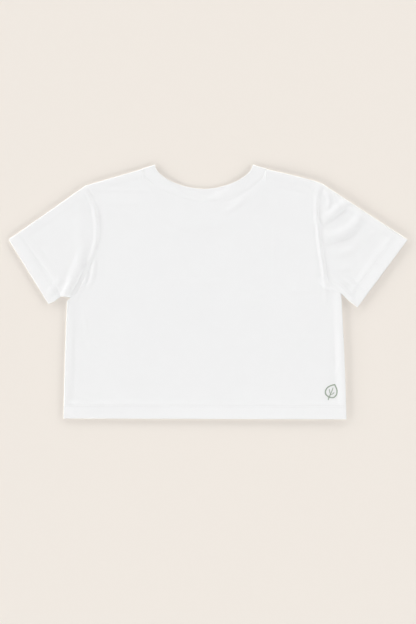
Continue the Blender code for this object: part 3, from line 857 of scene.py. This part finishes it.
def thread_material(name, base, sheen):
    """Spun thread: fine slanting twist and a soft lustre."""
    material, shader = new_material(name, THREAD_ROUGHNESS[1], sheen)
    place = add_node(material, "ShaderNodeTexCoord").outputs["Object"]
    twist = add_node(material, "ShaderNodeTexWave", wave_type="BANDS", bands_direction="DIAGONAL")
    feed(material, twist.inputs["Vector"], place)
    feed(material, twist.inputs["Scale"], TWIST_SCALE)
    feed(material, twist.inputs["Distortion"], TWIST_DISTORTION)
    bump(material, shader, twist.outputs["Fac"], *THREAD_BUMP)
    patchy = noise(material, place, PATCH_SCALE)
    patched = blended(material, patchy, *(colour(base, tone) for tone in PATCH_TONES))
    feed(material, shader.inputs["Base Color"], patched)
    feed(material, shader.inputs["Roughness"], maths(material, "MULTIPLY_ADD", patchy, *THREAD_ROUGHNESS))
    return material


def finished_surface(piece):
    """The finished surface of a piece, for laying threads on it."""
    bpy.context.view_layer.update()
    return BVHTree.FromObject(piece, bpy.context.evaluated_depsgraph_get())


def on_surface(tree, flat, above):
    """A place on the cloth and the way its surface faces, found from above or from below."""
    start = Vector((flat[0], flat[1], FAR if above else -FAR))
    hit, normal, _, _ = tree.ray_cast(start, Vector((0.0, 0.0, -1.0 if above else 1.0)))
    if hit is None:
        raise RuntimeError(f"no cloth lies at {flat[0]:.3f}, {flat[1]:.3f}")
    return hit, normal


def add_stitch(bm, start, end, normal, width):
    """A small round-ended bar of thread between two points."""
    along = end - start
    side = normal.cross(along).normalized()
    up = along.normalized().cross(side)
    axes = Matrix((along.normalized(), side, up)).transposed().to_4x4()
    size = Matrix.Diagonal((along.length / 2.0, width / 2.0, width * STITCH_HEIGHT, 1.0))
    bmesh.ops.create_uvsphere(
        bm, u_segments=6, v_segments=4, radius=1.0,
        matrix=Matrix.Translation((start + end) / 2.0) @ axes @ size @ Matrix.Rotation(pi / 2.0, 4, "Y"),
    )


def sew(bm, tree, places, above):
    """A row of stitches on the cloth, along places seen from above."""
    places = [Vector(place) for place in places]
    before = [0.0]
    for a, b in zip(places, places[1:]):
        before.append(before[-1] + (b - a).length)

    def at(distance):
        last = len(places) - 2
        row = next(i for i in range(last + 1) if distance <= before[i + 1] or i == last)
        share = (distance - before[row]) / (before[row + 1] - before[row])
        return mix(places[row], places[row + 1], share)

    distance = 0.0
    while distance + STITCH_LENGTH < before[-1]:
        start, normal = on_surface(tree, at(distance), above)
        end, _ = on_surface(tree, at(distance + STITCH_LENGTH), above)
        add_stitch(bm, start, end, normal, STITCH_WIDTH)
        distance += STITCH_LENGTH + STITCH_SPACE


def thread_object(name, bm, material):
    """The stitches as an object that rides on the body."""
    piece = new_object(name, bm, material)
    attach(piece, BODY)
    return piece


def sew_rows(name, stitches, rows, material):
    """Rows of stitches on a piece of cloth: each is its two ends and whether it lies on the upper side."""
    bm = bmesh.new()
    tree = finished_surface(bpy.data.objects[name + "_cloth"])
    for start, end, above in rows:
        sew(bm, tree, (start, end), above)
    thread_object(name + stitches, bm, material)


def jersey_for(context, name):
    """The jersey of one piece, with the colour and gauge that the sidebar sets."""
    cloth = context.scene.crop_top_cloth
    return jersey_material(name, cloth.jersey_colour, cloth.wale, cloth.course)


class CropTopCloth(bpy.types.PropertyGroup):
    """Finish of the cloth and threads"""

    jersey_colour: FloatVectorProperty(
        name="Jersey", description="Colour of the jersey and the rib", subtype="COLOR", size=3,
        default=(0.873, 0.873, 0.873), min=0.0, max=1.0)
    wale: FloatProperty(
        name="Wale", description="Width of one column of knit stitches", subtype="DISTANCE",
        unit="LENGTH", default=0.00085, min=0.0002)
    course: FloatProperty(
        name="Course", description="Height of one row of knit stitches", subtype="DISTANCE",
        unit="LENGTH", default=0.00065, min=0.0002)
    rib_pitch: FloatProperty(
        name="Rib", description="Width of one ridge of the neck rib", subtype="DISTANCE", unit="LENGTH",
        default=0.0013, min=0.0002)
    motif_colour: FloatVectorProperty(
        name="Motif", description="Colour of the embroidered leaf", subtype="COLOR", size=3,
        default=(0.33, 0.40, 0.30), min=0.0, max=1.0)
    motif_size: FloatProperty(
        name="Motif size", description="Height of the embroidered leaf", subtype="DISTANCE",
        unit="LENGTH", default=0.030, min=0.005)


class CropTopStage(bpy.types.PropertyGroup):
    """Floor, light and camera"""

    floor_colour: FloatVectorProperty(
        name="Floor", description="Colour of the floor", subtype="COLOR", size=3,
        default=(0.854, 0.799, 0.738), min=0.0, max=1.0)
    overhead: FloatProperty(
        name="Overhead", description="Strength of the broad light straight above", default=1.28, min=0.0)
    around: FloatProperty(
        name="Around", description="Strength of the ring of low light all round", default=3.88, min=0.0)
    camera_height: FloatProperty(
        name="Camera height", description="Height of the camera above the floor", subtype="DISTANCE",
        unit="LENGTH", default=2.655, min=0.5)


class CROPTOP_OT_front(bpy.types.Operator):
    """Lay the front panel on the floor"""

    bl_idname = "crop_top.front"
    bl_label = "Front panel"

    def execute(self, context):
        material = jersey_for(context, "front jersey")
        piece = body_panel("front_panel", FRONT_SEAM, False, material)
        return {"FINISHED"}


class CROPTOP_OT_back(bpy.types.Operator):
    """Lay the back panel on the front"""

    bl_idname = "crop_top.back"
    bl_label = "Back panel"

    def execute(self, context):
        material = jersey_for(context, "back jersey")
        piece = body_panel("back_panel", BACK_SEAM, True, material)
        return {"FINISHED"}


class CROPTOP_OT_sleeves(bpy.types.Operator):
    """Lay both sleeves out"""

    bl_idname = "crop_top.sleeves"
    bl_label = "Sleeves"

    def execute(self, context):
        for side, name, flat, area in (
            (LEFT, "sleeve_left", (0.42, 0.17), 0.040),
            (RIGHT, "sleeve_right", (0.39, 0.18), 0.040),
        ):
            piece = sleeve(name, side, jersey_for(context, name + " jersey"))
        return {"FINISHED"}


class CROPTOP_OT_neck(bpy.types.Operator):
    """Lay the neck rib"""

    bl_idname = "crop_top.neck"
    bl_label = "Neck rib"

    def execute(self, context):
        cloth = context.scene.crop_top_cloth
        piece = neck_rib("neck_rib", rib_material("neck rib knit", cloth.jersey_colour, cloth.rib_pitch))
        return {"FINISHED"}


class CROPTOP_OT_stitching(bpy.types.Operator):
    """Sew the twin rows of the hem and the cuffs"""

    bl_idname = "crop_top.stitching"
    bl_label = "Stitching"

    def execute(self, context):
        cloth = context.scene.crop_top_cloth
        tone = colour(cloth.jersey_colour, SEWING_TONE)
        material = thread_material("sewing thread", tone, SEWING_SHEEN)
        corners = point("hem_corner", LEFT), point("hem_corner", RIGHT)
        inset = Vector((HEM_ROWS_START, 0.0))
        for name, above in (("front_panel", False), ("back_panel", True)):
            ups = [Vector((0.0, HEM_DEPTH - STITCH_INSET + needle)) for needle in NEEDLES]
            rows = [(corners[LEFT] + up + inset, corners[RIGHT] + up - inset, above) for up in ups]
            sew_rows(name, "_hem_stitches", rows, material)
        for side, name in ((LEFT, "sleeve_left"), (RIGHT, "sleeve_right")):
            ends = point("cuff_top", side), point("cuff_bottom", side)
            across = (ends[1] - ends[0]).normalized()
            inwards = Vector((across.y, -across.x)) * (-1.0 if side == LEFT else 1.0)
            inset = across * CUFF_ROWS_START
            rows = []
            for needle in NEEDLES:
                up = inwards * (CUFF_DEPTH - STITCH_INSET + needle)
                rows += [(ends[0] + up + inset, ends[1] + up - inset, above) for above in (True, False)]
            sew_rows(name, "_cuff_stitches", rows, material)
        return {"FINISHED"}


class CROPTOP_OT_motif(bpy.types.Operator):
    """Embroider a small leaf near the hem"""

    bl_idname = "crop_top.motif"
    bl_label = "Embroidered leaf"

    def execute(self, context):
        cloth = context.scene.crop_top_cloth
        material = thread_material("embroidery thread", cloth.motif_colour, SATIN_SHEEN)
        tree = finished_surface(bpy.data.objects["back_panel_cloth"])
        bm = bmesh.new()
        turn = Matrix.Rotation(radians(MOTIF_TURN), 2)
        for width, places in LEAF_LINES.values():
            line = smooth_path(places, LEAF_STEPS) * (cloth.motif_size / LEAF_HEIGHT)
            steps = np.linalg.norm(np.diff(line, axis=0), axis=1)
            before = np.concatenate([[0.0], np.cumsum(steps)])
            count = round(before[-1] / SATIN_PITCH)
            for i in range(count + 1):
                distances = [before[-1] * i / count + look for look in (-SATIN_LOOK, 0.0, SATIN_LOOK)]
                xs, ys = (np.interp(distances, before, line[:, axis]) for axis in (0, 1))
                behind, here, ahead = (Vector(place) for place in zip(xs, ys))
                along = (ahead - behind).normalized()
                aside = Vector((-along.y, along.x)) * width * MM / 2.0 + along * SATIN_SHIFT * (-1) ** i
                ends = [Vector(MOTIF_PLACE) + turn @ (here + aside * way) for way in (-1.0, 1.0)]
                (start, normal), (end, _) = (on_surface(tree, flat, True) for flat in ends)
                lift = normal * SATIN_LIFT
                add_stitch(bm, start + lift, end + lift, normal, SATIN_WIDTH)
        thread_object("leaf_embroidery", bm, material)
        return {"FINISHED"}


class CROPTOP_OT_stage(bpy.types.Operator):
    """Set up the floor, the light and the camera"""

    bl_idname = "crop_top.stage"
    bl_label = "Floor, light and camera"

    def execute(self, context):
        stage = context.scene.crop_top_stage
        bm = bmesh.new()
        bmesh.ops.create_grid(bm, x_segments=1, y_segments=1, size=FLOOR_REACH)
        material, shader = new_material("floor paint", FLOOR_ROUGHNESS, 0.0)
        shader.inputs["Specular IOR Level"].default_value = 0.0
        place = add_node(material, "ShaderNodeTexCoord").outputs["Object"]
        grain = noise(material, place, FLOOR_GRAIN)
        tones = (colour(stage.floor_colour, tone) for tone in FLOOR_TONES)
        feed(material, shader.inputs["Base Color"], blended(material, grain, *tones))
        floor = new_object("floor", bm, material)
        floor.location.z = FLOOR_DROP

        sun = bpy.data.lights.new("overhead light", "SUN")
        sun.energy = stage.overhead
        sun.angle = radians(SUN_ANGLE)
        lamp = bpy.data.objects.new("overhead light", sun)
        lamp.rotation_euler = (radians(SUN_TILT[0]), radians(SUN_TILT[1]), 0.0)
        context.scene.collection.objects.link(lamp)

        world = bpy.data.worlds.new("studio")
        world.use_nodes = True
        context.scene.world = world
        background = world.node_tree.nodes["Background"]
        direction = add_node(world, "ShaderNodeTexCoord").outputs["Generated"]
        parts = add_node(world, "ShaderNodeSeparateXYZ")
        feed(world, parts.inputs["Vector"], direction)
        window = maths(world, "MULTIPLY", parts.outputs["X"], WINDOW[0])
        window = maths(world, "MULTIPLY_ADD", parts.outputs["Y"], WINDOW[1], window)
        ring = 1.0
        for operation, lean, elevation in zip(("GREATER_THAN", "LESS_THAN"), RING_LEAN, RING):
            limit = maths(world, "MULTIPLY_ADD", window, -lean, sin(radians(elevation)))
            ring = maths(world, "MULTIPLY", maths(world, operation, parts.outputs["Z"], limit), ring)
        brighter = maths(world, "MULTIPLY_ADD", window, WINDOW_SHARE, 1.0)
        light = maths(world, "MULTIPLY", maths(world, "MULTIPLY", ring, brighter), stage.around)
        seen = add_node(world, "ShaderNodeLightPath").outputs["Is Camera Ray"]
        glow = blended(world, seen, (1.0, 1.0, 1.0, 1.0), colour(BACKDROP))
        unseen = maths(world, "SUBTRACT", 1.0, seen)
        strength = maths(world, "MULTIPLY_ADD", light, unseen, seen)
        feed(world, background.inputs["Color"], glow)
        feed(world, background.inputs["Strength"], strength)

        lens = bpy.data.cameras.new("camera")
        lens.lens = LENS
        lens.sensor_fit = "VERTICAL"
        lens.sensor_height = SENSOR
        lens.clip_end = 100.0
        camera = bpy.data.objects.new("camera", lens)
        camera.location = (CAMERA_OVER[0], CAMERA_OVER[1], stage.camera_height)
        context.scene.collection.objects.link(camera)
        context.scene.camera = camera
        context.scene.view_settings.view_transform = "Standard"
        return {"FINISHED"}


class CROPTOP_PT_sidebar(bpy.types.Panel):
    """Crop top sizes, colours and steps"""

    bl_label = "Crop Top"
    bl_space_type = "VIEW_3D"
    bl_region_type = "UI"
    bl_category = "Crop Top"

    def draw(self, context):
        for group in (context.scene.crop_top_cloth, context.scene.crop_top_stage):
            box = self.layout.box()
            for name in group.__annotations__:
                box.prop(group, name)
        for step in STEPS:
            self.layout.operator(step.bl_idname)


STEPS = (
    CROPTOP_OT_stage,
    CROPTOP_OT_front,
    CROPTOP_OT_back,
    CROPTOP_OT_sleeves,
    CROPTOP_OT_neck,
    CROPTOP_OT_stitching,
    CROPTOP_OT_motif,
)
CLASSES = (CropTopCloth, CropTopStage, *STEPS, CROPTOP_PT_sidebar)


def register():
    for each in CLASSES:
        bpy.utils.register_class(each)
    bpy.types.Scene.crop_top_cloth = bpy.props.PointerProperty(type=CropTopCloth)
    bpy.types.Scene.crop_top_stage = bpy.props.PointerProperty(type=CropTopStage)


def unregister():
    del bpy.types.Scene.crop_top_stage
    del bpy.types.Scene.crop_top_cloth
    for each in reversed(CLASSES):
        bpy.utils.unregister_class(each)


def main():
    register()
    bpy.ops.crop_top.stage()
    bpy.ops.crop_top.front()
    bpy.ops.crop_top.back()
    bpy.ops.crop_top.sleeves()
    bpy.ops.crop_top.neck()
    bpy.ops.crop_top.stitching()
    bpy.ops.crop_top.motif()


if __name__ == "__main__":
    main()
